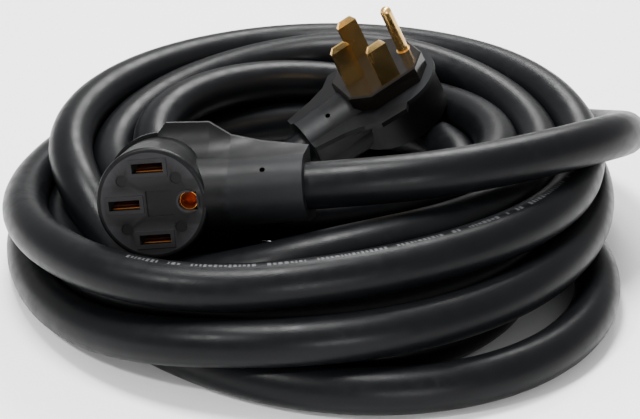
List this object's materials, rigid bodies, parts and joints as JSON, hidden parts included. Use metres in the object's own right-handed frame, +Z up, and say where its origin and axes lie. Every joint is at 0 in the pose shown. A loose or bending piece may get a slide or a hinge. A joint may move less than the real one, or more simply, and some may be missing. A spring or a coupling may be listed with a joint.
{
  "type": "shore power cord",
  "caption": "Heavy black shore power cord lying in a loose coil, with a right-angle four-slot connector at one end and a right-angle four-pin plug at the other.",
  "frame": {"origin": "centre of the bounding box on the ground plane", "axes": "+X to the side where the connector's lead loops round, +Y from the connector towards the plug, +Z up"},
  "size_m": [0.3448, 0.329, 0.1214],
  "materials": {
    "cable_jacket": "satin black thermoplastic jacket with light scuffs",
    "housing_rubber": "semi-matte black moulded thermoplastic",
    "face_black": "black moulded nylon, satin",
    "carrier_black": "black moulded nylon, polished",
    "inner_moulding": "dark grey first-shot moulding",
    "blade_brass": "stamped brass, fine grain along the blade",
    "contact_brass": "rolled spring brass, tarnished",
    "copper": "fine stranded copper",
    "insulation_black": "gloss insulation",
    "insulation_red": "gloss insulation",
    "insulation_white": "gloss insulation",
    "insulation_green": "gloss insulation"
  },
  "bodies": {
    "root": {"cable_coil": "cable_jacket", "cable_lead_connector": "cable_jacket", "cable_lead_plug": "cable_jacket", "connector_housing": "housing_rubber", "plug_housing": "housing_rubber", "connector_face": "face_black", "plug_blade_carrier": "carrier_black", "connector_contact_carrier": "inner_moulding", "plug_inner_bridge": "inner_moulding", "plug_blade_hot_x": "blade_brass", "plug_blade_hot_y": "blade_brass", "plug_blade_neutral": "blade_brass", "plug_ground_pin": "blade_brass", "connector_contact_hot_x": "contact_brass", "connector_contact_hot_y": "contact_brass", "connector_contact_neutral": "contact_brass", "connector_contact_ground": "contact_brass", "connector_copper_cores": "copper", "plug_copper_cores": "copper", "connector_conductor_black": "insulation_black", "connector_conductor_red": "insulation_red", "connector_conductor_white": "insulation_white", "connector_conductor_green": "insulation_green", "plug_conductor_black": "insulation_black", "plug_conductor_red": "insulation_red", "plug_conductor_white": "insulation_white", "plug_conductor_green": "insulation_green"}
  },
  "joints": []
}
